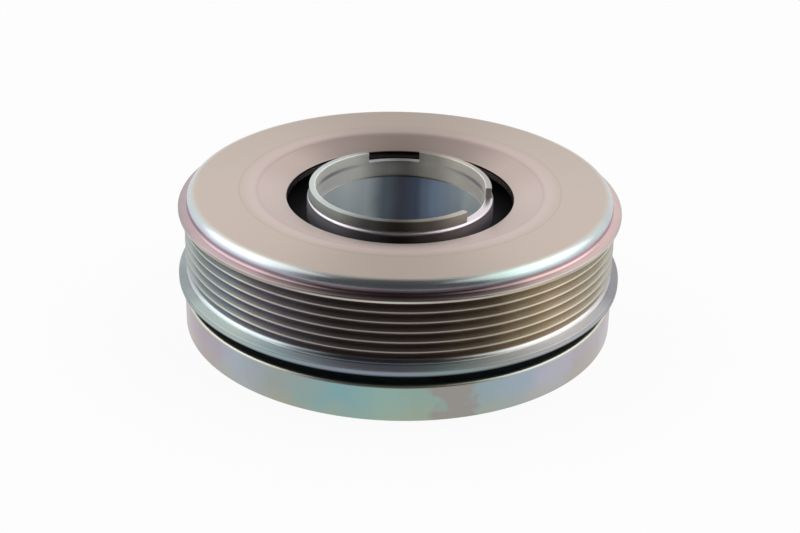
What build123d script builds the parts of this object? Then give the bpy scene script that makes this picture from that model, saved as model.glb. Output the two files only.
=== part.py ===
import os
from math import cos, radians, sin, tan

from build123d import *

# Harmonic balancer: a decoupled crankshaft pulley with a torsional vibration damper.
# Millimetres, +Z along the crankshaft axis, origin at the centre of the inertia ring's
# bottom face, on which the part stands. Radii step inwards from the inertia ring, apart
# from the hub's neck and floor, which have radii of their own.

# Inertia ring and the rubber track that carries it
ring_outer_radius = 76.5
ring_width = 13.0
ring_height = 13.1
ring_top_round = 1.1
ring_edge_chamfer = 0.4
damper_rubber_thickness = 3.0
rubber_bottom_recess = 1.2      # from the ring's bottom face
rubber_top_recess = 1.1         # from the ring's top face
rubber_meniscus = 0.7           # how far the free rubber faces curve in

# Hub: crankshaft flange
face_recess = 2.0               # crankshaft face above the ring's bottom face
floor_thickness = 10.0
pilot_radius = 13.0
pilot_chamfer = 1.0
bolt_count = 6
bolt_circle_radius = 21.0
bolt_hole_radius = 4.25
index_hole_radius = 2.5

# Hub: neck
neck_radius = 32.9
lip_step = 0.8                  # lip's outer face inside the neck's
cap_seat_wall = 3.0             # neck's outer face to the cap seat
well_step = 0.7                 # well's wall inside the cap seat's
cap_seat_depth = 9.7            # from the lip's top
lip_height = 4.0
neck_projection = 0.7           # lip's top above the pulley's disc
rear_notch_angle = 95.0
rear_notch_width = 36.0
side_notch_angle = -24.0
side_notch_width = 40.0
neck_edge_chamfer = 0.3
ledge_round = 0.7
lip_round = 0.5

# Hub: web, rim and thrust collar
web_bottom_recess = 3.5         # from the ring's bottom face
web_thickness = 6.0
rim_thickness = 4.0
rim_bottom_recess = 0.8         # from the ring's bottom face
collar_clearance = 0.5          # above the ring's top face
collar_thickness = 1.8
collar_width = 5.0
hub_fillet = 2.0
hub_edge_chamfer = 0.5

# Plain bearing between the rim and the outer sleeve
bush_thickness = 2.0
bush_length = 13.0
bush_flange_thickness = 1.6
bush_flange_width = 5.5
rim_above_bush = 0.4

# Belt pulley: skirt and lower flange
pulley_gap = 4.9                # between the ring and the pulley
rib_step = 0.6                  # ribs' tips inside the ring's outer face
skirt_thickness = 2.35          # behind the grooves' roots
lower_flange_height = 2.6       # above the ribs' tips
lower_rim_height = 1.8
lower_flange_fall = 0.7         # slope of its upper face
land_height = 1.4
land_round = 1.5
land_corner_round = 0.2

# Belt pulley: poly-V track, PK profile
groove_count = 6
groove_pitch = 3.56
groove_angle = 40.0
groove_depth = 2.95
rib_tip_width = 0.56
rib_tip_round = 0.2
groove_root_round = 0.3

# Belt pulley: upper flange, shoulder and dished disc
upper_flange_height = 2.0       # above the ribs' tips
upper_rim_height = 1.3
upper_flange_fall = 0.4         # slope of its upper face
flange_rim_round = 0.6
flange_corner_round = 0.8
shoulder_step = 1.1             # shoulder's wall inside the ribs' tips
shoulder_height = 4.4
shoulder_round = 3.0
disc_thickness = 3.0
disc_flat_width = 22.3          # shoulder's wall to the crease, where the dish starts
crease_round = 26.0
dish_depth = 3.4
opening_clearance = 7.1         # between the neck and the disc
opening_edge_round = 0.5
inner_corner_round = 2.5

# Isolator: two sleeves with rubber bonded between them
inner_sleeve_thickness = 2.2
inner_sleeve_recess = 2.5       # above the web
inner_sleeve_drop = 5.4         # its top end below the outer sleeve's
outer_sleeve_thickness = 1.8
outer_sleeve_clearance = 0.63   # its end below the round inside the pulley's corner
sleeve_bend_round = 1.0
rubber_cover = 1.0              # rubber over the inner sleeve's top end
rubber_foot_recess = 5.0        # above the inner sleeve's bottom end
rubber_shelf_width = 14.8       # level stretch of rubber inside the outer sleeve's wall
bare_sleeve_end = 0.7           # outer sleeve's wall above the rubber
isolator_sag = 3.5              # of the upper face, between its ends
isolator_hollow = 2.5           # of the lower face, between its ends

# Heights, worked upwards from the ring's bottom face
skirt_bottom = ring_height + pulley_gap
lower_rim_top = skirt_bottom + lower_rim_height
land_bottom = lower_rim_top + lower_flange_fall
land_top = land_bottom + land_height
flank_rise = groove_depth * tan(radians(groove_angle / 2))
groove_half_mouth = (groove_pitch - rib_tip_width) / 2
groove_half_root = groove_half_mouth - flank_rise
first_groove = land_top + groove_half_mouth
last_groove = first_groove + (groove_count - 1) * groove_pitch
upper_flange_reach = upper_flange_height + groove_depth
upper_rim_bottom = last_groove + groove_half_root + upper_flange_reach * tan(radians(groove_angle / 2))
upper_rim_top = upper_rim_bottom + upper_rim_height
shoulder_bottom = upper_rim_top + upper_flange_fall
disc_top = shoulder_bottom + shoulder_height
disc_bottom = disc_top - disc_thickness
lip_top = disc_top + neck_projection
ledge = lip_top - lip_height
cap_seat = lip_top - cap_seat_depth
floor_top = face_recess + floor_thickness
web_top = web_bottom_recess + web_thickness
collar_bottom = ring_height + collar_clearance
collar_top = collar_bottom + collar_thickness
bush_bottom = collar_top + bush_flange_thickness
bush_top = bush_bottom + bush_length
rim_top = bush_top + rim_above_bush

# Radii, worked inwards from the ring's outer face
rib_radius = ring_outer_radius - rib_step
lower_flange_radius = rib_radius + lower_flange_height
upper_flange_radius = rib_radius + upper_flange_height
groove_root_radius = rib_radius - groove_depth
skirt_inner_radius = groove_root_radius - skirt_thickness
shoulder_wall_radius = rib_radius - shoulder_step
crease_radius = shoulder_wall_radius - disc_flat_width
ring_inner_radius = ring_outer_radius - ring_width
rim_outer_radius = ring_inner_radius - damper_rubber_thickness
rim_inner_radius = rim_outer_radius - rim_thickness
bush_outer_radius = rim_outer_radius + bush_thickness
sleeve_seat_radius = bush_outer_radius + outer_sleeve_thickness
sleeve_wall_radius = skirt_inner_radius - outer_sleeve_thickness

# Radii that follow the neck
lip_outer_radius = neck_radius - lip_step
cap_seat_radius = neck_radius - cap_seat_wall
well_radius = cap_seat_radius - well_step
inner_sleeve_radius = neck_radius + inner_sleeve_thickness
opening_radius = neck_radius + opening_clearance

# Isolator heights
sleeve_web_bottom = rim_top
sleeve_web_top = sleeve_web_bottom + outer_sleeve_thickness
outer_sleeve_top = disc_bottom - inner_corner_round - outer_sleeve_clearance
inner_sleeve_bottom = web_top + inner_sleeve_recess
inner_sleeve_top = outer_sleeve_top - inner_sleeve_drop


def turned(*corners):
    """Revolve a closed outline about Z. A corner is radius, height and, where it is rounded, a radius."""
    outline = make_face(Polyline(*[corner[:2] for corner in corners], close=True))
    for radius, height, rounding in [corner for corner in corners if len(corner) == 3]:
        corner_vertex = outline.vertices().sort_by_distance((radius, height))[0]
        outline = fillet(corner_vertex, rounding)
    return revolve(Plane.XZ * outline, Axis.Z)


def tube(inner, outer, bottom, top):
    """A plain ring between two radii."""
    return turned((inner, bottom), (outer, bottom), (outer, top), (inner, top))


def ring_sector(centre_angle, width, outer, bottom, top):
    """A pie-shaped block that cuts a notch through the lip."""
    reach = outer / cos(radians(width / 2))
    edges = [centre_angle - width / 2, centre_angle + width / 2]
    tips = [(reach * cos(radians(angle)), reach * sin(radians(angle))) for angle in edges]
    pie = make_face(Polyline((0, 0), *tips, close=True))
    return Pos(0, 0, bottom) * extrude(pie, top - bottom)


def make_belt_pulley():
    """Flow-formed cup: dished disc, rolled shoulder, flanges and poly-V track in one piece."""
    dish_top = disc_top - dish_depth
    outside = [
        (opening_radius, dish_top, opening_edge_round),
        (crease_radius, disc_top, crease_round),
        (shoulder_wall_radius, disc_top, shoulder_round),
        (shoulder_wall_radius, shoulder_bottom, flange_corner_round),
        (upper_flange_radius, upper_rim_top, flange_rim_round),
        (upper_flange_radius, upper_rim_bottom, flange_rim_round),
    ]
    track = []
    for groove in reversed(range(groove_count)):
        height = first_groove + groove * groove_pitch
        if groove < groove_count - 1:
            track.append((rib_radius, height + groove_half_mouth, rib_tip_round))
        track.append((groove_root_radius, height + groove_half_root, groove_root_round))
        track.append((groove_root_radius, height - groove_half_root, groove_root_round))
        track.append((rib_radius, height - groove_half_mouth, rib_tip_round if groove else land_round))
    lower_flange = [
        (rib_radius, land_bottom, land_corner_round),
        (lower_flange_radius, lower_rim_top, flange_rim_round),
        (lower_flange_radius, skirt_bottom, flange_rim_round),
        (skirt_inner_radius, skirt_bottom),
    ]
    inside = [
        (skirt_inner_radius, disc_bottom, inner_corner_round),
        (crease_radius, disc_bottom, crease_round),
        (opening_radius, dish_top - disc_thickness),
    ]
    return turned(*outside, *track, *lower_flange, *inside)


def make_hub():
    """Crankshaft floor, web, rim with thrust collar, and the neck with its notched lip."""
    collar_radius = rim_outer_radius + collar_width
    body = turned(
        (pilot_radius + pilot_chamfer, face_recess),
        (neck_radius, face_recess),
        (neck_radius, web_bottom_recess),
        (rim_inner_radius, web_bottom_recess, hub_fillet),
        (rim_inner_radius, rim_bottom_recess),
        (rim_outer_radius - hub_edge_chamfer, rim_bottom_recess),
        (rim_outer_radius, rim_bottom_recess + hub_edge_chamfer),
        (rim_outer_radius, collar_bottom),
        (collar_radius, collar_bottom),
        (collar_radius, collar_top),
        (rim_outer_radius, collar_top),
        (rim_outer_radius, rim_top - hub_edge_chamfer),
        (rim_outer_radius - hub_edge_chamfer, rim_top),
        (rim_inner_radius, rim_top),
        (rim_inner_radius, web_top, hub_fillet),
        (neck_radius, web_top, hub_fillet),
        (neck_radius, ledge, ledge_round),
        (lip_outer_radius, ledge),
        (lip_outer_radius, lip_top, lip_round),
        (cap_seat_radius + neck_edge_chamfer, lip_top),
        (cap_seat_radius, lip_top - neck_edge_chamfer),
        (cap_seat_radius, cap_seat),
        (well_radius, cap_seat),
        (well_radius, floor_top, hub_fillet),
        (pilot_radius + pilot_chamfer, floor_top),
        (pilot_radius, floor_top - pilot_chamfer),
        (pilot_radius, face_recess + pilot_chamfer),
    )
    for centre_angle, width in [(rear_notch_angle, rear_notch_width), (side_notch_angle, side_notch_width)]:
        body -= ring_sector(centre_angle, width, neck_radius, ledge, lip_top)
    bolt_hole = Cylinder(bolt_hole_radius, floor_thickness)
    index_hole = Cylinder(index_hole_radius, floor_thickness)
    floor_middle = Pos(0, 0, face_recess + floor_thickness / 2)
    for place in PolarLocations(bolt_circle_radius, bolt_count):
        body -= floor_middle * place * bolt_hole
    index_place = PolarLocations(bolt_circle_radius, 1, start_angle=180 / bolt_count).locations[0]
    return body - floor_middle * index_place * index_hole


def make_inertia_ring():
    """Plain turned ring with a rounded top edge."""
    return turned(
        (ring_inner_radius + ring_edge_chamfer, 0),
        (ring_outer_radius - ring_edge_chamfer, 0),
        (ring_outer_radius, ring_edge_chamfer),
        (ring_outer_radius, ring_height, ring_top_round),
        (ring_inner_radius + ring_edge_chamfer, ring_height),
        (ring_inner_radius, ring_height - ring_edge_chamfer),
        (ring_inner_radius, ring_edge_chamfer),
    )


def make_damper_rubber():
    """Rubber track squeezed between rim and ring, its free faces curved in."""
    bottom = rubber_bottom_recess
    top = ring_height - rubber_top_recess
    middle = (rim_outer_radius + ring_inner_radius) / 2
    outline = [
        ThreePointArc((rim_outer_radius, bottom), (middle, bottom + rubber_meniscus), (ring_inner_radius, bottom)),
        Line((ring_inner_radius, bottom), (ring_inner_radius, top)),
        ThreePointArc((ring_inner_radius, top), (middle, top - rubber_meniscus), (rim_outer_radius, top)),
        Line((rim_outer_radius, top), (rim_outer_radius, bottom)),
    ]
    return revolve(Plane.XZ * make_face(outline), Axis.Z)


def make_plain_bearing():
    """Flanged bush: its sleeve centres the pulley, and its flange carries it on the hub's collar."""
    return turned(
        (rim_outer_radius, collar_top),
        (rim_outer_radius + bush_flange_width, collar_top),
        (rim_outer_radius + bush_flange_width, bush_bottom),
        (bush_outer_radius, bush_bottom),
        (bush_outer_radius, bush_top),
        (rim_outer_radius, bush_top),
    )


def make_isolator_outer_sleeve():
    """Pressed steel ring in Z section: bearing seat, web, and wall pressed into the pulley's skirt."""
    outer_bend = sleeve_bend_round + outer_sleeve_thickness
    return turned(
        (bush_outer_radius, bush_bottom),
        (sleeve_seat_radius, bush_bottom),
        (sleeve_seat_radius, sleeve_web_bottom, sleeve_bend_round),
        (skirt_inner_radius, sleeve_web_bottom, outer_bend),
        (skirt_inner_radius, outer_sleeve_top),
        (sleeve_wall_radius, outer_sleeve_top),
        (sleeve_wall_radius, sleeve_web_top, sleeve_bend_round),
        (bush_outer_radius, sleeve_web_top, outer_bend),
    )


def make_isolator_inner_sleeve():
    """Steel tube pressed on the neck."""
    return tube(neck_radius, inner_sleeve_radius, inner_sleeve_bottom, inner_sleeve_top)


def make_isolator_rubber():
    """Rubber spring bonded to both sleeves, with a thin cover over the inner sleeve's top end."""
    foot = inner_sleeve_bottom + rubber_foot_recess
    shelf_radius = sleeve_wall_radius - rubber_shelf_width
    inner_top = inner_sleeve_top + rubber_cover
    outer_top = outer_sleeve_top - bare_sleeve_end
    upper_middle = ((neck_radius + sleeve_wall_radius) / 2, (inner_top + outer_top) / 2 - isolator_sag)
    lower_middle = (
        (inner_sleeve_radius + shelf_radius) / 2 - isolator_hollow,
        (foot + sleeve_web_top) / 2 + isolator_hollow,
    )
    outline = make_face([
        ThreePointArc((neck_radius, inner_top), upper_middle, (sleeve_wall_radius, outer_top)),
        Polyline(
            (sleeve_wall_radius, outer_top),
            (sleeve_wall_radius, sleeve_web_top),
            (shelf_radius, sleeve_web_top),
        ),
        ThreePointArc((shelf_radius, sleeve_web_top), lower_middle, (inner_sleeve_radius, foot)),
        Polyline(
            (inner_sleeve_radius, foot),
            (inner_sleeve_radius, inner_sleeve_top),
            (neck_radius, inner_sleeve_top),
            (neck_radius, inner_top),
        ),
    ])
    bend = outline.vertices().sort_by_distance((sleeve_wall_radius, sleeve_web_top))[0]
    return revolve(Plane.XZ * fillet(bend, sleeve_bend_round), Axis.Z)


pieces = {
    "belt_pulley": make_belt_pulley(),
    "hub": make_hub(),
    "inertia_ring": make_inertia_ring(),
    "damper_rubber": make_damper_rubber(),
    "plain_bearing": make_plain_bearing(),
    "isolator_outer_sleeve": make_isolator_outer_sleeve(),
    "isolator_inner_sleeve": make_isolator_inner_sleeve(),
    "isolator_rubber": make_isolator_rubber(),
}

os.makedirs("parts", exist_ok=True)
for name, piece in pieces.items():
    export_step(piece, f"parts/{name}.step")
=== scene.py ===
import math

import bmesh
import bpy
from mathutils import Matrix, Vector


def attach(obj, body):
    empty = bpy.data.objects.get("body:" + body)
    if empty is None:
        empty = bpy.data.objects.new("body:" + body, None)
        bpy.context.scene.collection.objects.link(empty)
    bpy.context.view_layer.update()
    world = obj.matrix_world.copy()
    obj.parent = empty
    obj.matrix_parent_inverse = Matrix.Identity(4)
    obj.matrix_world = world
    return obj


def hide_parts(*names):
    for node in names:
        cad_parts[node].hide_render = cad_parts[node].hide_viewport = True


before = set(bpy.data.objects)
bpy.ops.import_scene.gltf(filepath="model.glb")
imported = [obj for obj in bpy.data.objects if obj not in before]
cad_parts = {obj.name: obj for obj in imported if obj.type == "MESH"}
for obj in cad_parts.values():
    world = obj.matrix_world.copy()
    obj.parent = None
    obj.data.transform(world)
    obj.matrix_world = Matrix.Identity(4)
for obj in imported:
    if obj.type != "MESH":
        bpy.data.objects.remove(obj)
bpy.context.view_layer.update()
mm = 0.001
scene = bpy.context.scene


def linear(hexColour):
    # sRGB hex to the linear values that sockets take
    channels = [int(hexColour[i:i + 2], 16) / 255 for i in (1, 3, 5)]
    return [c / 12.92 if c <= 0.04045 else ((c + 0.055) / 1.055) ** 2.4 for c in channels] + [1.0]


def addNode(tree, kind, inputs=None, output=0, stops=None, **settings):
    # inputs are values or the outputs that feed the node, stops are a ramp's places and colours;
    # a Mix takes its share at 0, two values at 2 and 3 or two colours at 6 and 7
    node = tree.nodes.new("ShaderNode" + kind)
    for name, value in settings.items():
        setattr(node, name, value)
    for socket, value in (inputs or {}).items():
        if isinstance(value, bpy.types.NodeSocket):
            tree.links.new(value, node.inputs[socket])
        else:
            node.inputs[socket].default_value = value
    if stops:
        node.color_ramp.interpolation = "EASE"
        while len(node.color_ramp.elements) < len(stops):
            node.color_ramp.elements.new(0.5)
        for element, (place, colour) in zip(node.color_ramp.elements, stops):
            element.position = place
            element.color = linear(colour)
    return node.outputs[output] if node.outputs else node


fadeColours = {"output": 2, "data_type": "RGBA"}             # a Mix that fades between two colours
tintColours = fadeColours | {"blend_type": "MULTIPLY"}       # a Mix that tints one with the other


def newMaterial(name):
    material = bpy.data.materials.new(name)
    material.use_nodes = True
    material.node_tree.nodes.clear()
    return material, material.node_tree


def cylinderPlace(tree):
    # where a point lies on a turned piece, in millimetres, and which way round the axis runs there
    metres = addNode(tree, "TexCoord", output="Object")
    point = addNode(tree, "VectorMath", {0: metres, "Scale": 1 / mm}, operation="SCALE")
    flat = addNode(tree, "VectorMath", {0: point, 1: (1, 1, 0)}, operation="MULTIPLY")
    outward = addNode(tree, "VectorMath", {0: flat}, operation="NORMALIZE")
    return {
        "point": point,
        "radius": addNode(tree, "VectorMath", {0: flat}, "Value", operation="LENGTH"),
        "height": addNode(tree, "SeparateXYZ", {0: point}, "Z"),
        "side": addNode(tree, "SeparateXYZ", {0: outward}, "X"),
        "back": addNode(tree, "SeparateXYZ", {0: outward}, "Y"),
        "round": addNode(tree, "VectorMath", {0: (0, 0, 1), 1: outward}, operation="CROSS_PRODUCT"),
    }


def filmClouds(tree, place, size, reach):
    # soft patches where the passivation film is thicker or thinner, size in millimetres
    noise = addNode(tree, "TexNoise", {"Vector": place["point"], "Scale": 1 / size, "Detail": 2.0})
    return addNode(tree, "Math", {0: noise, 1: reach * 2, 2: -reach}, operation="MULTIPLY_ADD")


def zincMaterial(name, film, finish):
    # zinc electroplate over turned steel under a clear passivation film: satin, with the film's
    # pale interference colours, and highlights drawn out across the turning marks
    material, tree = newMaterial(name)
    place = cylinderPlace(tree)
    # the film's colours also carry painted highlights and painted shade, by height and by side
    colour, roughness = film(tree, place)
    # the real marks are a tenth of a millimetre apart, too fine to show, and are drawn coarser
    across = addNode(tree, "CombineXYZ", {"X": place["radius"], "Y": place["height"], "Z": place["side"]})
    marks = addNode(tree, "TexNoise", {"Vector": across, "Scale": 1 / finish["markPitch"], "Detail": 1.0})
    bump = addNode(tree, "Bump", {"Strength": 1.0, "Distance": finish["markDepth"] * mm, "Height": marks})
    # a quarter turn from the way round puts the stretch across the marks
    surface = {"Base Color": colour, "Metallic": 1.0, "Normal": bump, "Tangent": place["round"],
               "Anisotropic Rotation": 0.25}
    gloss = addNode(tree, "BsdfPrincipled", surface | {
        "Roughness": roughness, "Anisotropic": finish["anisotropic"]})
    # part of the light is spread wide by the crystals under the film
    haze = addNode(tree, "BsdfPrincipled", surface | {"Roughness": finish["hazeRoughness"]})
    shader = addNode(tree, "MixShader", {0: finish["haze"], 1: gloss, 2: haze})
    addNode(tree, "OutputMaterial", {"Surface": shader})
    return material


def filmAndShadeColours(tree, value, stops):
    # colours along a radius, a height, a side or a depth, as (place, colour)
    first, last = stops[0][0], stops[-1][0]
    share = addNode(tree, "MapRange", {"Value": value, "From Min": first, "From Max": last})
    return addNode(tree, "ValToRGB", {"Fac": share}, stops=[
        ((place - first) / (last - first), colour) for place, colour in stops])


# Films, and the painted highlights and painted shade laid into them, change by radius and height, in
# millimetres, by side (-1 left, 1 right) and by depth (-1 front, 1 back). Clouds are (size in millimetres,
# how far they shift a place), and each From Min and From Max says where one film gives way to the next.
pulleyFinish = {
    "markPitch": 0.7, "markDepth": 0.00004, "anisotropic": 0.75, "haze": 0.1, "hazeRoughness": 0.6,
    "discRoughness": 0.36, "wallRoughness": 0.24, "flangeRoughness": 0.5,
    "discClouds": (60.0, 1.5), "wallClouds": (30.0, 0.15),
    # disc by radius: pinkish straw, pinker where the dish starts
    "disc": [(38, "#D2C2BC"), (46, "#DAC8C1"), (50, "#DBC8C4"), (53, "#D2C0BA"), (56, "#CABBB0"),
             (76, "#CABBB0")],
    # dish by depth: painted shade, darker towards the back and lightest at the front
    "dish": [(-1, "#FFFFFF"), (-0.85, "#F0F0F0"), (-0.5, "#EAEAEA"), (0, "#F0F0F0"), (0.5, "#E8E6E4"),
             (0.85, "#CCCAC8"), (1, "#D5D1CE")],
    "dishEdge": {"From Min": 52.5, "From Max": 49.5},
    # thin darker lines by radius near both ends of the disc's bend: painted shade at the bend
    "bendShadeLines": [(49.4, "#FFFFFF"), (50.3, "#F6F2F0"), (51.4, "#FFFFFF"), (56.1, "#FFFFFF"),
                    (56.5, "#F5F0EC"), (56.9, "#FFFFFF")],
    # the cut edge of the opening is painted near-black: painted shade deep in the opening
    "cut": "#242424", "cutShadeEdge": {"From Min": 40.02, "From Max": 40.2},
    "discEdge": {"From Min": 71.5, "From Max": 73.4}, "discUnderside": {"From Min": 45.4, "From Max": 45.0},
    # walls by height, with painted highlights and painted shade band by band: lower rim and flange, painted
    # dark at the foot under the lower rim, land
    "walls": [(17.5, "#50585C"), (17.95, "#747C80"), (18.3, "#CCD4D6"), (19.1, "#D0D8D8"),
              (19.5, "#B8C0C0"), (19.9, "#E4E8E8"), (20.4, "#E8ECEC"), (20.55, "#D4D8D8"),
              (20.8, "#D8DCDC"), (21.05, "#F4F8FA"), (22.4, "#E0E6EA"),
              # upper rim, painted darker underneath, pink flange, mauve wall, pale shoulder
              (43.3, "#94908A"), (43.9, "#D0CCC4"), (44.6, "#CCC0BC"), (45, "#E8CCCC"), (45.4, "#E0C4C8"),
              (45.9, "#BEA8B0"), (46.5, "#C0B6C2"), (47.05, "#CCCCD8"), (47.56, "#E0E4EC"),
              (48.03, "#E6ECF0"), (48.46, "#E4EEF0"), (49.1, "#E8F0EE"), (49.5, "#EEEEE8"),
              (50, "#E0D8D0")],
    "wallMiddle": 32.0,
    # by side, film tints with painted light and shade on the lower flange, the land, the upper rim, the
    # flange and the shoulder: the land, flange and shoulder painted dark in front and pale towards the sides
    # where the lamps show, the upper rim painted lighter in front, and a painted pale green glint on the
    # shoulder right of the middle
    "lowerFilmAndShading": [(-1, "#B0B4B8"), (-0.87, "#D4DEDC"), (-0.7, "#DAE0DA"), (-0.5, "#C2D2D6"),
                   (-0.26, "#C6C8D6"), (0, "#CBCDDB"), (0.26, "#C6D6D4"), (0.45, "#CCCAC8"),
                   (0.71, "#DED8D8"), (0.87, "#DAD4D6"), (1, "#B4B0B6")],
    "flangeTop": {"From Min": 20.5, "From Max": 21.0},
    "landFilmAndShading": [(-1, "#C4C8CC"), (-0.85, "#E8F0F0"), (-0.7, "#F0F8F8"), (-0.55, "#DCE4E8"),
                  (-0.41, "#A8B0B4"), (-0.2, "#787882"), (0, "#70707A"), (0.2, "#7C8080"),
                  (0.41, "#D0D0CC"), (0.5, "#E8E4E0"), (0.71, "#FFF8F4"), (0.87, "#F0E8E8"),
                  (1, "#C4C0C4")],
    "landFoot": {"From Min": 20.42, "From Max": 20.55}, "landTop": {"From Min": 21.9, "From Max": 22.3},
    "rimFilmAndShading": [(-1, "#C0BEBC"), (-0.87, "#E4E4E0"), (-0.71, "#CCCAC8"), (-0.5, "#CCC8C6"),
                 (-0.26, "#DEDEDA"), (0, "#F4F4F0"), (0.26, "#DEDAD6"), (0.5, "#E8E4D8"),
                 (0.71, "#D8DAD2"), (0.87, "#F0F0EC"), (1, "#CCC8C4")],
    "rimBottom": {"From Min": 43.4, "From Max": 42.8}, "rimTop": {"From Min": 44.5, "From Max": 44.8},
    "flangeFilmAndShading": [(-1, "#C8C8CE"), (-0.8, "#E6E6EA"), (-0.6, "#DCDCDE"), (-0.42, "#B0B0B0"),
                    (0, "#7C7678"), (0.25, "#8C8A8A"), (0.45, "#ACACA8"), (0.6, "#E0DCD6"),
                    (0.8, "#F4F0EC"), (1, "#E8E4E2")],
    "shoulderFilmAndShading": [(-1, "#A4A8AE"), (-0.9, "#BCC0C6"), (-0.8, "#F0F2FA"), (-0.6, "#E4E8EC"),
                      (-0.42, "#A8A8AC"), (-0.25, "#989696"), (0, "#7A7476"), (0.25, "#929090"),
                      (0.45, "#A8C8B8"), (0.6, "#CCF4E0"), (0.75, "#E4FCF4"), (0.88, "#B0B4B4"),
                      (1, "#8E8A88")],
    "shoulderFoot": {"From Min": 46.4, "From Max": 47.4}, "shoulderTint": 0.5,
    # the belt track by side: brown and violet in the grooves, cream on the ribs, with painted shade in front
    # and painted light towards the sides
    "grooves": [(-1, "#A0B0B8"), (-0.8, "#A4ACBE"), (-0.6, "#A09CA8"), (-0.2, "#8E8280"), (0.2, "#8E807C"),
                (0.35, "#A4988E"), (0.5, "#B8AC9E"), (0.72, "#C8BAAA"), (1, "#C0B4AA")],
    "ribs": [(-1, "#A0A8A8"), (-0.85, "#B4B8B0"), (-0.65, "#C4C6BC"), (-0.45, "#A09C98"),
             (-0.2, "#8E8A88"), (0.1, "#908C88"), (0.35, "#A09888"), (0.55, "#C0BAA6"), (0.72, "#D4CCBC"),
             (0.88, "#C0BCAE"), (1, "#ACA8A0")],
    "flank": {"From Min": 73.6, "From Max": 75.6},
}


def discFilmAndShading(tree, place):
    f = pulleyFinish
    radius = addNode(tree, "Math", {0: place["radius"], 1: filmClouds(tree, place, *f["discClouds"])})
    inDish = addNode(tree, "MapRange", {"Value": radius} | f["dishEdge"])
    # painted shade on the dish, darker towards the back
    dished = addNode(tree, "Mix", {
        0: inDish, 6: filmAndShadeColours(tree, radius, f["disc"]), 7: filmAndShadeColours(tree, place["back"], f["dish"]),
    }, **tintColours)
    # painted shade lines near both ends of the disc's bend
    lined = addNode(tree, "Mix", {
        0: 1.0, 6: dished, 7: filmAndShadeColours(tree, place["radius"], f["bendShadeLines"])}, **tintColours)
    # the opening's cut edge painted near-black as painted shade
    pastCutShade = addNode(tree, "MapRange", {"Value": place["radius"]} | f["cutShadeEdge"])
    return addNode(tree, "Mix", {0: pastCutShade, 6: linear(f["cut"]), 7: lined}, **fadeColours)


def wallFilmAndShading(tree, height, side):
    f = pulleyFinish
    onLand = addNode(tree, "MapRange", {"Value": height} | f["landFoot"])
    # the side colours are painted light and shade as well as film tints
    lower = addNode(tree, "Mix", {
        0: onLand, 6: filmAndShadeColours(tree, side, f["lowerFilmAndShading"]), 7: filmAndShadeColours(tree, side, f["landFilmAndShading"]),
    }, **fadeColours)
    aboveRim = addNode(tree, "MapRange", {"Value": height} | f["rimTop"])
    flange = addNode(tree, "Mix", {
        0: aboveRim, 6: filmAndShadeColours(tree, side, f["rimFilmAndShading"]), 7: filmAndShadeColours(tree, side, f["flangeFilmAndShading"]),
    }, **fadeColours)
    shoulder = addNode(tree, "Mix", {
        0: f["shoulderTint"], 6: linear("#FFFFFF"), 7: filmAndShadeColours(tree, side, f["shoulderFilmAndShading"]),
    }, **fadeColours)
    aboveFlange = addNode(tree, "MapRange", {"Value": height} | f["shoulderFoot"])
    upper = addNode(tree, "Mix", {0: aboveFlange, 6: flange, 7: shoulder}, **fadeColours)
    isUpper = addNode(tree, "Math", {0: height, 1: f["wallMiddle"]}, operation="GREATER_THAN")
    tint = addNode(tree, "Mix", {0: isUpper, 6: lower, 7: upper}, **fadeColours)
    # the height colours carry painted highlights and painted shade band by band
    return addNode(tree, "Mix", {0: 1.0, 6: filmAndShadeColours(tree, height, f["walls"]), 7: tint}, **tintColours)


def trackFilmAndShading(tree, radius, side):
    f = pulleyFinish
    outToTip = addNode(tree, "MapRange", {"Value": radius} | f["flank"])
    # groove and rib colours by side include painted shade in front and painted light at the sides
    return addNode(tree, "Mix", {
        0: outToTip, 6: filmAndShadeColours(tree, side, f["grooves"]), 7: filmAndShadeColours(tree, side, f["ribs"]),
    }, **fadeColours)


def pulleyFilmAndShading(tree, place):
    f = pulleyFinish
    height = place["height"]
    side = addNode(tree, "Math", {0: place["side"], 1: filmClouds(tree, place, *f["wallClouds"])})
    aboveLand = addNode(tree, "MapRange", {"Value": height} | f["landTop"])
    belowRim = addNode(tree, "MapRange", {"Value": height} | f["rimBottom"])
    inTrack = addNode(tree, "Math", {0: aboveLand, 1: belowRim}, operation="MULTIPLY")
    outside = addNode(tree, "Mix", {
        0: inTrack, 6: wallFilmAndShading(tree, height, side), 7: trackFilmAndShading(tree, place["radius"], side),
    }, **fadeColours)
    pastDisc = addNode(tree, "MapRange", {"Value": place["radius"]} | f["discEdge"])
    underDisc = addNode(tree, "MapRange", {"Value": height} | f["discUnderside"])
    offDisc = addNode(tree, "Math", {0: pastDisc, 1: underDisc}, operation="MAXIMUM")
    colour = addNode(tree, "Mix", {0: offDisc, 6: discFilmAndShading(tree, place), 7: outside}, **fadeColours)
    # the flange was only pressed, the wall above it is burnished by the forming roller
    walls = addNode(tree, "MapRange", {
        "Value": height, "To Min": f["flangeRoughness"], "To Max": f["wallRoughness"]} | f["flangeTop"])
    roughness = addNode(tree, "Mix", {0: offDisc, 2: f["discRoughness"], 3: walls}, data_type="FLOAT")
    return colour, roughness


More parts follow.
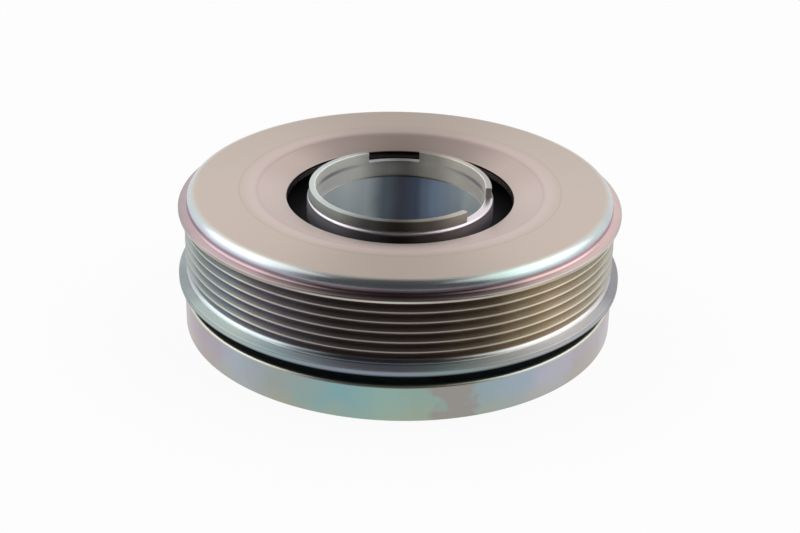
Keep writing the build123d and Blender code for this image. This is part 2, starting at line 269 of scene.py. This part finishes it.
ringFinish = {
    "markPitch": 0.6, "markDepth": 0.0001, "anisotropic": 0.5, "haze": 0.1, "hazeRoughness": 0.6,
    "roughness": 0.28,
    # by side: pink and violet at the ends, sea green in front
    "sides": [(-1, "#A094A0"), (-0.93, "#A69CA4"), (-0.87, "#AAA0AB"), (-0.7, "#A6AEBA"),
              (-0.5, "#9AA3A0"), (-0.36, "#90A8A6"), (-0.26, "#86AAAE"), (0, "#92B0A8"),
              (0.14, "#94ACA2"), (0.38, "#98AAB0"), (0.5, "#9EADB8"), (0.71, "#B3B3BE"),
              (0.87, "#AFA9AD"), (1, "#AC9CA8")],
    "broadClouds": (22.0, 0.12), "smallClouds": (5.0, 0.06),
    # a strawier film at the foot, under a cloudy edge
    "foot": "#B0AC88", "footEdge": {"From Min": 7.0, "From Max": -1.0, "To Max": 0.4},
    "footClouds": (9.0, 7.0),
    # a greyer stain right of the middle
    "stain": "#9C9894", "stainLeft": {"From Min": 0.14, "From Max": 0.19},
    "stainRight": {"From Min": 0.36, "From Max": 0.32}, "stainClouds": (6.0, 0.12),
    # a painted cream highlight on the top corner, by height and radius
    "corner": "#DCDCC8", "highlightFoot": {"From Min": 12.1, "From Max": 12.7, "To Max": 0.8},
    "highlightInside": {"From Min": 75.0, "From Max": 75.5},
}


def ringFilmAndHighlight(tree, place):
    f = ringFinish
    clouded = addNode(tree, "Math", {0: place["side"], 1: filmClouds(tree, place, *f["broadClouds"])})
    side = addNode(tree, "Math", {0: clouded, 1: filmClouds(tree, place, *f["smallClouds"])})
    footing = addNode(tree, "Math", {0: place["height"], 1: filmClouds(tree, place, *f["footClouds"])})
    atFoot = addNode(tree, "MapRange", {"Value": footing} | f["footEdge"])
    strawy = addNode(tree, "Mix", {
        0: atFoot, 6: filmAndShadeColours(tree, side, f["sides"]), 7: linear(f["foot"])}, **fadeColours)
    across = addNode(tree, "Math", {0: place["side"], 1: filmClouds(tree, place, *f["stainClouds"])})
    fromLeft = addNode(tree, "MapRange", {"Value": across} | f["stainLeft"])
    fromRight = addNode(tree, "MapRange", {"Value": across} | f["stainRight"])
    inStain = addNode(tree, "Math", {0: fromLeft, 1: fromRight}, operation="MULTIPLY")
    stained = addNode(tree, "Mix", {0: inStain, 6: strawy, 7: linear(f["stain"])}, **fadeColours)
    # the painted cream highlight on the top corner
    upHighlight = addNode(tree, "MapRange", {"Value": place["height"]} | f["highlightFoot"])
    outHighlight = addNode(tree, "MapRange", {"Value": place["radius"]} | f["highlightInside"])
    onHighlight = addNode(tree, "Math", {0: upHighlight, 1: outHighlight}, operation="MULTIPLY")
    colour = addNode(tree, "Mix", {0: onHighlight, 6: stained, 7: linear(f["corner"])}, **fadeColours)
    return colour, f["roughness"]


hubFinish = {
    "markPitch": 0.6, "markDepth": 0.0001, "anisotropic": 0.5, "haze": 0.25, "hazeRoughness": 0.6,
    "roughness": 0.52, "ledgeRoughness": 0.3, "sideClouds": (12.0, 0.06),
    # plain zinc low down, outside and on the floor
    "plain": "#BCC2C8", "plainOutside": {"From Min": 30.0, "From Max": 38.0},
    "plainInside": {"From Min": 12.1, "From Max": 14.0},
    # outside by height: mauve up the neck, pink on the ledge, silver at the lip
    "heights": [(30, "#CCC8D0"), (40, "#CCC4D0"), (45.1, "#DCD0D8"), (45.5, "#F4ECF4"),
                (46.55, "#F4ECF4"), (46.9, "#E8E8E2"), (50.2, "#E0E0DC")],
    # outside by side: painted shade, darkest in front and pale at both sides where the lamps show, of which
    # the front of the ledge shows less
    "outside": [(-1, "#F0FAFA"), (-0.7, "#E0E8E8"), (-0.3, "#A0A4A6"), (0, "#706C68"), (0.3, "#ACA6A0"),
                (0.7, "#E8E0DA"), (0.88, "#DCDAD8"), (1, "#DCDAD8")],
    "ledgeFoot": {"From Min": 45.1, "From Max": 45.4}, "ledgeTop": {"From Min": 46.8, "From Max": 46.6},
    "ledgeFront": {"From Min": 0.1, "From Max": -0.3}, "ledgeShare": {"To Min": 1.0, "To Max": 0.4},
    # inside by side: bluish in the bore, warmer on the bearing seat above it, both painted dark in the
    # middle and light at both sides
    "bore": [(-1, "#FAFFFF"), (-0.75, "#F4FAFA"), (-0.45, "#DCE2E4"), (-0.2, "#868E98"), (0, "#686C78"),
             (0.2, "#6C748A"), (0.32, "#8C9AB0"), (0.45, "#A4B4CC"), (0.56, "#B4C0D0"), (0.7, "#C8D2DA"),
             (0.85, "#F0F8F8"), (1, "#F0F8F8")],
    "seat": [(-1, "#FCFAF4"), (-0.6, "#F4F0E8"), (-0.2, "#ACA8A2"), (0.05, "#928E8A"), (0.4, "#C4BCB2"),
             (0.7, "#F0E8DE"), (1, "#FAF4EC")],
    "boreTop": {"From Min": 40.3, "From Max": 40.6}, "neckWall": {"From Min": 30.0, "From Max": 30.4},
    # the narrow step between bore and seat catches less light, by height
    "step": [(40.2, "#FFFFFF"), (40.42, "#B4B8BE"), (40.6, "#B4B8BE"), (40.8, "#FFFFFF")],
}


def neckFilmAndShading(tree, place, side, ledge):
    f = hubFinish
    inFront = addNode(tree, "MapRange", {"Value": place["back"]} | f["ledgeFront"])
    frontLedge = addNode(tree, "Math", {0: ledge, 1: inFront}, operation="MULTIPLY")
    share = addNode(tree, "MapRange", {"Value": frontLedge} | f["ledgeShare"])
    # the side colours are painted shade in front and painted light at the sides
    tinted = addNode(tree, "Mix", {
        0: share, 6: filmAndShadeColours(tree, place["height"], f["heights"]),
        7: filmAndShadeColours(tree, side, f["outside"])}, **tintColours)
    upNeck = addNode(tree, "MapRange", {"Value": place["height"]} | f["plainOutside"])
    return addNode(tree, "Mix", {0: upNeck, 6: linear(f["plain"]), 7: tinted}, **fadeColours)


def boreFilmAndShading(tree, place, side):
    f = hubFinish
    aboveBore = addNode(tree, "MapRange", {"Value": place["height"]} | f["boreTop"])
    # bore and seat colours by side are painted shade in the middle and painted light at the sides
    lined = addNode(tree, "Mix", {
        0: aboveBore, 6: filmAndShadeColours(tree, side, f["bore"]), 7: filmAndShadeColours(tree, side, f["seat"]),
    }, **fadeColours)
    stepped = addNode(tree, "Mix", {
        0: 1.0, 6: lined, 7: filmAndShadeColours(tree, place["height"], f["step"])}, **tintColours)
    offFloor = addNode(tree, "MapRange", {"Value": place["height"]} | f["plainInside"])
    return addNode(tree, "Mix", {0: offFloor, 6: linear(f["plain"]), 7: stepped}, **fadeColours)


def hubFilmAndShading(tree, place):
    f = hubFinish
    side = addNode(tree, "Math", {0: place["side"], 1: filmClouds(tree, place, *f["sideClouds"])})
    fromNeck = addNode(tree, "MapRange", {"Value": place["height"]} | f["ledgeFoot"])
    fromLip = addNode(tree, "MapRange", {"Value": place["height"]} | f["ledgeTop"])
    ledge = addNode(tree, "Math", {0: fromNeck, 1: fromLip}, operation="MULTIPLY")
    inWall = addNode(tree, "MapRange", {"Value": place["radius"]} | f["neckWall"])
    colour = addNode(tree, "Mix", {
        0: inWall, 6: boreFilmAndShading(tree, place, side), 7: neckFilmAndShading(tree, place, side, ledge)}, **fadeColours)
    # the ledge is burnished
    roughness = addNode(tree, "Mix", {0: ledge, 2: f["roughness"], 3: f["ledgeRoughness"]}, data_type="FLOAT")
    return colour, roughness


zincPulley = zincMaterial("zincPlatedSteelSpun", pulleyFilmAndShading, pulleyFinish)
zincRing = zincMaterial("zincPlatedSteelTurned", ringFilmAndHighlight, ringFinish)
zincHub = zincMaterial("zincPlatedSteelBored", hubFilmAndShading, hubFinish)


hiddenFinish = {
    "rubber": "#1E1E22", "rubberRoughness": 0.7, "rubberShine": 0.2, "grain": 0.4, "grainDepth": 0.02,
    "polymer": [(0.35, "#2A2A29"), (0.65, "#31312F")], "polymerRoughness": 0.45, "mottle": 2.5,
    "phosphate": [(0.0, "#5E5E60"), (0.8, "#4A4A4D")], "phosphateRoughness": 0.55, "crystal": 0.55,
}


def rubberMaterial():
    # moulded black rubber: matt, with a faint grain from the mould
    f = hiddenFinish
    material, tree = newMaterial("rubberMoulded")
    point = addNode(tree, "TexCoord", output="Object")
    grain = addNode(tree, "TexNoise", {"Vector": point, "Scale": 1 / (f["grain"] * mm), "Detail": 2.0})
    bump = addNode(tree, "Bump", {"Strength": 0.5, "Distance": f["grainDepth"] * mm, "Height": grain})
    addNode(tree, "OutputMaterial", {"Surface": addNode(tree, "BsdfPrincipled", {
        "Base Color": linear(f["rubber"]), "Roughness": f["rubberRoughness"],
        "Specular IOR Level": f["rubberShine"], "Normal": bump})})
    return material


def polymerMaterial():
    # moulded bearing polymer: dark, slightly waxy, with a soft mottle
    f = hiddenFinish
    material, tree = newMaterial("bearingPolymerMoulded")
    point = addNode(tree, "TexCoord", output="Object")
    mottle = addNode(tree, "TexNoise", {"Vector": point, "Scale": 1 / (f["mottle"] * mm)})
    colour = addNode(tree, "ValToRGB", {"Fac": mottle}, stops=f["polymer"])
    addNode(tree, "OutputMaterial", {"Surface": addNode(tree, "BsdfPrincipled", {
        "Base Color": colour, "Roughness": f["polymerRoughness"]})})
    return material


def phosphatedMaterial():
    # phosphated pressed steel: dark grey and crystalline, with a dull sheen
    f = hiddenFinish
    material, tree = newMaterial("steelPressedPhosphated")
    point = addNode(tree, "TexCoord", output="Object")
    crystals = addNode(tree, "TexVoronoi", {"Vector": point, "Scale": 1 / (f["crystal"] * mm)})
    colour = addNode(tree, "ValToRGB", {"Fac": crystals}, stops=f["phosphate"])
    addNode(tree, "OutputMaterial", {"Surface": addNode(tree, "BsdfPrincipled", {
        "Base Color": colour, "Metallic": 1.0, "Roughness": f["phosphateRoughness"]})})
    return material


rubber = rubberMaterial()
polymer = polymerMaterial()
phosphated = phosphatedMaterial()
print("materials made")


turned = {
    "steps": 360,        # one degree each, so the notches' ends fall on a step
    "sectors": 12, "sharpAngle": 38, "mergeDistance": 1e-6,
    # how many edges a rounding gets, by its radius
    "fewestEdges": 3, "edgesPerMm": 2.5, "mostEdges": 14,
}


def addOutline(mesh, corners):
    # closed outline of (radius, height, rounding) corners in millimetres, in the XZ plane
    verts = [mesh.verts.new((corner[0] * mm, 0, corner[1] * mm)) for corner in corners]
    for a, b in zip(verts, verts[1:] + verts[:1]):
        mesh.edges.new((a, b))
    for i, corner in enumerate(corners):
        if len(corner) < 3:
            continue
        before = Vector(corners[i - 1][:2]) - Vector(corner[:2])
        after = Vector(corners[(i + 1) % len(corners)][:2]) - Vector(corner[:2])
        tangent = corner[2] * mm / math.tan(before.angle(after) / 2)
        edges = turned["fewestEdges"] + round(corner[2] * turned["edgesPerMm"])
        bmesh.ops.bevel(mesh, geom=[verts[i]], offset=tangent, offset_type="OFFSET", affect="VERTICES",
                        segments=min(edges, turned["mostEdges"]), profile=0.5, material=-1)


def spinOutline(mesh):
    # one sector is spun and then repeated round the axis, far quicker than one long spin
    sector = math.tau / turned["sectors"]
    steps = turned["steps"] // turned["sectors"]
    bmesh.ops.spin(mesh, geom=mesh.verts[:] + mesh.edges[:], cent=(0, 0, 0), axis=(0, 0, 1),
                   dvec=(0, 0, 0), angle=sector, steps=steps, use_merge=False, use_duplicate=False)
    first = mesh.verts[:] + mesh.edges[:] + mesh.faces[:]
    for i in range(1, turned["sectors"]):
        copied = bmesh.ops.duplicate(mesh, geom=first)["geom"]
        bmesh.ops.rotate(mesh, verts=[item for item in copied if isinstance(item, bmesh.types.BMVert)],
                         cent=(0, 0, 0), matrix=Matrix.Rotation(sector * i, 3, "Z"))
    bmesh.ops.remove_doubles(mesh, verts=mesh.verts[:], dist=turned["mergeDistance"])
    bmesh.ops.recalc_face_normals(mesh, faces=mesh.faces[:])


def makePiece(name, mesh, material, node):
    for face in mesh.faces:
        face.smooth = True
    for edge in mesh.edges:
        edge.smooth = edge.calc_face_angle(0.0) < math.radians(turned["sharpAngle"])
    data = bpy.data.meshes.new(name)
    mesh.to_mesh(data)
    mesh.free()
    piece = bpy.data.objects.new(name, data)
    scene.collection.objects.link(piece)
    data.materials.append(material)
    weighted = piece.modifiers.new("weightedNormals", "WEIGHTED_NORMAL")
    weighted.keep_sharp = True
    weighted.weight = 100
    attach(piece, "root")
    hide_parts(node)
    print(name, len(data.vertices), "vertices")


def turnedPiece(name, corners, material, node):
    mesh = bmesh.new()
    addOutline(mesh, corners)
    spinOutline(mesh)
    makePiece(name, mesh, material, node)


pulley = {
    "opening": 40.0, "openingTop": 46.13, "openingRound": 0.5, "crease": 52.5, "creaseRound": 26.0,
    "discTop": 49.53, "discThickness": 3.0, "shoulderRound": 3.0,
    "wall": 74.8, "wallBottom": 45.13, "wallRound": 1.0,
    "upperFlange": 77.9, "upperRimTop": 44.73, "upperRimBottom": 43.43, "rimRound": 0.6,
    "grooves": 6, "pitch": 3.56, "firstGroove": 23.4, "halfMouth": 1.5, "halfRoot": 0.4263,
    "rib": 75.9, "ribRound": 0.2, "root": 72.95, "rootRound": 0.3, "landRound": 1.6, "landBottom": 20.5,
    "lowerFlange": 78.5, "lowerRimTop": 19.8, "bottom": 17.5, "footRound": 0.5,
    "inside": 70.6, "insideRound": 2.5, "edgeRound": 0.2,
}


def pulleyOutline():
    p = pulley
    underside = p["discTop"] - p["discThickness"]
    corners = [
        (p["opening"], p["openingTop"], p["openingRound"]), (p["crease"], p["discTop"], p["creaseRound"]),
        (p["wall"], p["discTop"], p["shoulderRound"]), (p["wall"], p["wallBottom"], p["wallRound"]),
        (p["upperFlange"], p["upperRimTop"], p["rimRound"]),
        (p["upperFlange"], p["upperRimBottom"], p["rimRound"]),
    ]
    for groove in reversed(range(p["grooves"])):
        height = p["firstGroove"] + groove * p["pitch"]
        if groove < p["grooves"] - 1:
            corners.append((p["rib"], height + p["halfMouth"], p["ribRound"]))
        corners += [
            (p["root"], height + p["halfRoot"], p["rootRound"]),
            (p["root"], height - p["halfRoot"], p["rootRound"]),
            (p["rib"], height - p["halfMouth"], p["ribRound"] if groove else p["landRound"]),
        ]
    return corners + [
        (p["rib"], p["landBottom"]), (p["lowerFlange"], p["lowerRimTop"], p["rimRound"]),
        (p["lowerFlange"], p["bottom"], p["footRound"]), (p["inside"], p["bottom"], p["edgeRound"]),
        (p["inside"], underside, p["insideRound"]), (p["crease"], underside, p["creaseRound"]),
        (p["opening"], p["openingTop"] - p["discThickness"], p["edgeRound"]),
    ]


turnedPiece("beltPulley", pulleyOutline(), zincPulley, "belt_pulley")


hub = {
    "pilot": 13.0, "pilotChamfer": 1.0, "face": 2.0, "floor": 12.0,
    "neck": 32.9, "well": 29.2, "seat": 29.9, "lip": 32.1, "seatBottom": 40.53,
    "ledge": 46.5, "ledgeFall": 0.6, "ledgeRound": 0.8,
    "lipTop": 50.22, "lipRound": 0.45, "endRound": 0.25, "lipEdges": 3,
    "webBottom": 3.5, "webTop": 9.5, "rimInner": 56.5, "rimOuter": 60.5, "rimBottom": 0.8, "rimTop": 30.4,
    "collar": 65.5, "collarBottom": 13.6, "collarTop": 15.4,
    "fillet": 2.0, "rimRound": 0.5, "edgeRound": 0.3, "fineRound": 0.2, "cornerRound": 0.1,
    "boltCircle": 21.0, "boltHole": 4.25, "indexHole": 2.5, "bolts": 6,
    "drillSides": 48, "drillOvershoot": 1.0,
    "levelTolerance": 0.01, "aboveLedge": 0.1, "sharpCorner": 60,      # how the lip's edges are told apart
    "notches": [(77, 113), (316, 356)],      # in degrees, counterclockwise from +X
}


def hubOutline():
    h = hub
    chamfered = h["pilot"] + h["pilotChamfer"]
    return [
        (chamfered, h["face"]), (h["neck"], h["face"], h["fineRound"]),
        (h["neck"], h["webBottom"], h["rimRound"]), (h["rimInner"], h["webBottom"], h["fillet"]),
        (h["rimInner"], h["rimBottom"], h["edgeRound"]), (h["rimOuter"], h["rimBottom"], h["rimRound"]),
        (h["rimOuter"], h["collarBottom"], h["edgeRound"]), (h["collar"], h["collarBottom"], h["edgeRound"]),
        (h["collar"], h["collarTop"], h["edgeRound"]), (h["rimOuter"], h["collarTop"], h["cornerRound"]),
        (h["rimOuter"], h["rimTop"], h["rimRound"]), (h["rimInner"], h["rimTop"], h["edgeRound"]),
        (h["rimInner"], h["webTop"], h["fillet"]), (h["neck"], h["webTop"], h["fillet"]),
        (h["neck"], h["ledge"] - h["ledgeFall"], h["ledgeRound"]), (h["lip"], h["ledge"]),
        (h["seat"], h["ledge"]), (h["seat"], h["seatBottom"], h["cornerRound"]),
        (h["well"], h["seatBottom"], h["fineRound"]), (h["well"], h["floor"], h["fillet"]),
        (chamfered, h["floor"]), (h["pilot"], h["floor"] - h["pilotChamfer"]),
        (h["pilot"], h["face"] + h["pilotChamfer"]),
    ]


def raiseLip(mesh):
    # the inner band beside the ledge stands up as the lip, apart from the two notches
    h = hub
    band = []
    for face in mesh.faces:
        centre = face.calc_center_median() / mm
        radius = math.hypot(centre.x, centre.y)
        if abs(centre.z - h["ledge"]) > h["levelTolerance"] or not h["seat"] < radius < h["lip"]:
            continue
        angle = math.degrees(math.atan2(centre.y, centre.x)) % 360
        if not any(start < angle < end for start, end in h["notches"]):
            band.append(face)
    raised = bmesh.ops.extrude_face_region(mesh, geom=band)["geom"]
    raisedVerts = [item for item in raised if isinstance(item, bmesh.types.BMVert)]
    bmesh.ops.translate(mesh, verts=raisedVerts, vec=(0, 0, (h["lipTop"] - h["ledge"]) * mm))
    bmesh.ops.recalc_face_normals(mesh, faces=mesh.faces[:])
    # the upright edges at the notches' ends are rounded first, then the level ones
    for rounding, level in (("endRound", False), ("lipRound", True)):
        corners = [edge for edge in mesh.edges
                   if max(v.co.z for v in edge.verts) > (h["ledge"] + h["aboveLedge"]) * mm
                   and (abs(edge.verts[0].co.z - edge.verts[1].co.z) < h["levelTolerance"] * mm) == level
                   and edge.calc_face_angle_signed(0.0) > math.radians(h["sharpCorner"])]
        bmesh.ops.bevel(mesh, geom=corners, offset=h[rounding] * mm, offset_type="OFFSET", affect="EDGES",
                        segments=h["lipEdges"], profile=0.5, material=-1, clamp_overlap=True)


def drillFloor(mesh):
    # bolt holes and the index hole, cut with drills that pass through the floor
    h = hub
    drills = bmesh.new()
    middle = (h["face"] + h["floor"]) / 2 * mm
    depth = (h["floor"] - h["face"] + 2 * h["drillOvershoot"]) * mm
    holes = [(h["boltHole"], 360 / h["bolts"] * i) for i in range(h["bolts"])]
    holes.append((h["indexHole"], 180 / h["bolts"]))
    for radius, angle in holes:
        turn = math.radians(angle)
        out = h["boltCircle"] * mm
        place = Matrix.Translation((out * math.cos(turn), out * math.sin(turn), middle))
        bmesh.ops.create_cone(drills, cap_ends=True, segments=h["drillSides"], radius1=radius * mm,
                              radius2=radius * mm, depth=depth, matrix=place)
    blank = bpy.data.meshes.new("hubBlank")
    mesh.to_mesh(blank)
    mesh.free()
    drillData = bpy.data.meshes.new("drills")
    drills.to_mesh(drillData)
    drills.free()
    blankObject = bpy.data.objects.new("hubBlank", blank)
    drillObject = bpy.data.objects.new("drills", drillData)
    scene.collection.objects.link(blankObject)
    scene.collection.objects.link(drillObject)
    cut = blankObject.modifiers.new("drilling", "BOOLEAN")
    cut.operation = "DIFFERENCE"
    cut.solver = "EXACT"
    cut.object = drillObject
    drilled = bmesh.new()
    drilled.from_object(blankObject, bpy.context.evaluated_depsgraph_get())
    bpy.data.objects.remove(blankObject)
    bpy.data.objects.remove(drillObject)
    return drilled


hubMesh = bmesh.new()
addOutline(hubMesh, hubOutline())
spinOutline(hubMesh)
raiseLip(hubMesh)
makePiece("hub", drillFloor(hubMesh), zincHub, "hub")


ring = {"outer": 76.5, "inner": 63.5, "height": 13.1, "topRound": 1.1, "edge": 0.4}


def ringOutline():
    r = ring
    return [
        (r["inner"] + r["edge"], 0), (r["outer"], 0, r["edge"]), (r["outer"], r["height"], r["topRound"]),
        (r["inner"], r["height"], r["edge"]), (r["inner"], r["edge"]),
    ]


turnedPiece("inertiaRing", ringOutline(), zincRing, "inertia_ring")


damperRubber = {"inner": 60.5, "outer": 63.5, "bottom": 1.2, "top": 12.0, "dip": 1.2, "round": 2.0}


def damperRubberOutline():
    # the free faces dip between rim and ring
    d = damperRubber
    middle = (d["inner"] + d["outer"]) / 2
    return [
        (d["inner"], d["bottom"]), (middle, d["bottom"] + d["dip"], d["round"]), (d["outer"], d["bottom"]),
        (d["outer"], d["top"]), (middle, d["top"] - d["dip"], d["round"]), (d["inner"], d["top"]),
    ]


turnedPiece("damperRubber", damperRubberOutline(), rubber, "damper_rubber")


bush = {
    "inner": 60.5, "outer": 62.5, "bottom": 15.4, "top": 30.0, "flange": 66.0, "flangeTop": 17.0,
    "edge": 0.25,
}


def bushOutline():
    b = bush
    return [
        (b["inner"], b["bottom"]), (b["flange"], b["bottom"], b["edge"]),
        (b["flange"], b["flangeTop"], b["edge"]), (b["outer"], b["flangeTop"]),
        (b["outer"], b["top"], b["edge"]), (b["inner"], b["top"]),
    ]


turnedPiece("plainBearing", bushOutline(), polymer, "plain_bearing")


isolator = {
    "neck": 32.9, "innerSleeve": 35.1, "innerBottom": 12.0, "innerTop": 38.0, "innerEdge": 0.3,
    "seatInner": 62.5, "seatOuter": 64.3, "bottom": 17.0, "webBottom": 30.4, "webTop": 32.2,
    "wallInner": 68.8, "wallOuter": 70.6, "top": 43.4, "outerEdge": 0.2,
    "bendInside": 1.0, "bendOutside": 2.8,
    "rubberInnerTop": 39.0, "rubberOuterTop": 42.7, "foot": 17.0, "shelf": 54.0,
    # lowest point of the upper face and highest of the lower one, each with its rounding
    "sag": (50.8, 33.8, 45.0), "hollow": (40.2, 28.6, 16.0),
}


def outerSleeveOutline():
    s = isolator
    return [
        (s["seatInner"], s["bottom"]), (s["seatOuter"], s["bottom"], s["outerEdge"]),
        (s["seatOuter"], s["webBottom"], s["bendInside"]), (s["wallOuter"], s["webBottom"], s["bendOutside"]),
        (s["wallOuter"], s["top"]), (s["wallInner"], s["top"], s["outerEdge"]),
        (s["wallInner"], s["webTop"], s["bendInside"]), (s["seatInner"], s["webTop"], s["bendOutside"]),
    ]


def innerSleeveOutline():
    s = isolator
    return [
        (s["neck"], s["innerBottom"]), (s["innerSleeve"], s["innerBottom"], s["innerEdge"]),
        (s["innerSleeve"], s["innerTop"]), (s["neck"], s["innerTop"]),
    ]


def isolatorRubberOutline():
    # the free faces sag between the sleeves
    s = isolator
    return [
        (s["neck"], s["rubberInnerTop"]), s["sag"], (s["wallInner"], s["rubberOuterTop"]),
        (s["wallInner"], s["webTop"], s["bendInside"]), (s["shelf"], s["webTop"]), s["hollow"],
        (s["innerSleeve"], s["foot"]), (s["innerSleeve"], s["innerTop"]), (s["neck"], s["innerTop"]),
    ]


turnedPiece("isolatorOuterSleeve", outerSleeveOutline(), phosphated, "isolator_outer_sleeve")
turnedPiece("isolatorInnerSleeve", innerSleeveOutline(), phosphated, "isolator_inner_sleeve")
turnedPiece("isolatorRubber", isolatorRubberOutline(), rubber, "isolator_rubber")


studio = {
    "floorColour": "#FAFAFA", "floorGlow": 0.93, "floorSize": 6.0, "floorFront": -0.3, "floorDrop": 0.02,
    # the room's white walls shine most at both sides, less at the back, and least in front
    "wallStrength": 1.0, "dimStrength": 0.08, "sideGain": 1.5, "backGain": 1.05, "wallRange": (0.24, 1.09),
    # name, place, width, height, radiance
    "panels": [("leftPanel", (-0.755, 0.046, 0.68), 1.0, 0.98, 0.6),
               ("rightPanel", (0.74, -0.065, 0.695), 1.25, 1.0, 0.7)],
    "panelAim": (0, 0, 0.025),
    # lens and sensor in millimetres, the camera's place too, its fall and roll in degrees
    "lens": 71.68, "sensor": 36.0, "cameraPlace": (0.4855, -514.227, 274.261),
    "cameraFall": 26.513, "cameraRoll": 1.274,
}


def addFloor():
    mesh = bmesh.new()
    bmesh.ops.create_grid(mesh, x_segments=1, y_segments=1, size=studio["floorSize"] / 2)
    data = bpy.data.meshes.new("floor")
    mesh.to_mesh(data)
    mesh.free()
    floor = bpy.data.objects.new("floor", data)
    floor.location = (0, studio["floorSize"] / 2 + studio["floorFront"], -studio["floorDrop"] * mm)
    scene.collection.objects.link(floor)
    # seamless white paper: most of what a camera or a metal sees of it is plain white
    material, tree = newMaterial("paperSheetMatt")
    toCamera = addNode(tree, "LightPath", output="Is Camera Ray")
    toMetal = addNode(tree, "LightPath", output="Is Glossy Ray")
    toGlass = addNode(tree, "LightPath", output="Is Transmission Ray")
    mirrored = addNode(tree, "Math", {0: toMetal, 1: toGlass}, operation="MAXIMUM")
    seen = addNode(tree, "Math", {0: toCamera, 1: mirrored}, operation="MAXIMUM")
    share = addNode(tree, "Math", {0: seen, 1: studio["floorGlow"]}, operation="MULTIPLY")
    paper = addNode(tree, "BsdfDiffuse", {"Color": linear(studio["floorColour"])})
    glow = addNode(tree, "Emission", {"Color": linear("#FFFFFF"), "Strength": 1.0})
    addNode(tree, "OutputMaterial", {"Surface": addNode(tree, "MixShader", {0: share, 1: paper, 2: glow})})
    data.materials.append(material)


def addWorld():
    world = bpy.data.worlds.new("studio")
    scene.world = world
    world.use_nodes = True
    tree = world.node_tree
    tree.nodes.clear()
    direction = addNode(tree, "TexCoord", output="Generated")
    right = addNode(tree, "SeparateXYZ", {0: direction}, "X")
    back = addNode(tree, "SeparateXYZ", {0: direction}, "Y")
    towardsSide = addNode(tree, "Math", {0: right}, operation="ABSOLUTE")
    side = addNode(tree, "Math", {0: towardsSide, 1: studio["sideGain"]}, operation="MULTIPLY")
    wall = addNode(tree, "Math", {0: back, 1: studio["backGain"], 2: side}, operation="MULTIPLY_ADD")
    shine = addNode(tree, "MapRange", {
        "Value": wall, "From Min": studio["wallRange"][0], "From Max": studio["wallRange"][1],
        "To Min": studio["dimStrength"], "To Max": studio["wallStrength"]})
    # a camera sees plain white past the floor's edge
    toCamera = addNode(tree, "LightPath", output="Is Camera Ray")
    strength = addNode(tree, "Mix", {0: toCamera, 2: shine, 3: 1.0}, data_type="FLOAT")
    background = addNode(tree, "Background", {"Color": linear("#FFFFFF"), "Strength": strength})
    addNode(tree, "OutputWorld", {"Surface": background})


def addPanel(name, place, width, height, radiance):
    # a soft box that looks at the part, and shows in the metal at this radiance
    data = bpy.data.lights.new(name, "AREA")
    data.shape = "RECTANGLE"
    data.size = width
    data.size_y = height
    data.energy = radiance * math.pi * width * height
    lamp = bpy.data.objects.new(name, data)
    lamp.location = place
    aim = Vector(studio["panelAim"]) - Vector(place)
    lamp.rotation_euler = aim.to_track_quat("-Z", "Y").to_euler()
    scene.collection.objects.link(lamp)


def addCamera():
    data = bpy.data.cameras.new("camera")
    data.sensor_width = studio["sensor"]
    data.lens = studio["lens"]
    camera = bpy.data.objects.new("camera", data)
    camera.matrix_world = (Matrix.Translation(Vector(studio["cameraPlace"]) * mm)
                           @ Matrix.Rotation(math.radians(90 - studio["cameraFall"]), 4, "X")
                           @ Matrix.Rotation(math.radians(studio["cameraRoll"]), 4, "Z"))
    scene.collection.objects.link(camera)
    scene.camera = camera


addFloor()
addWorld()
for panel in studio["panels"]:
    addPanel(*panel)
addCamera()
scene.view_settings.view_transform = "Standard"
print("studio set up")
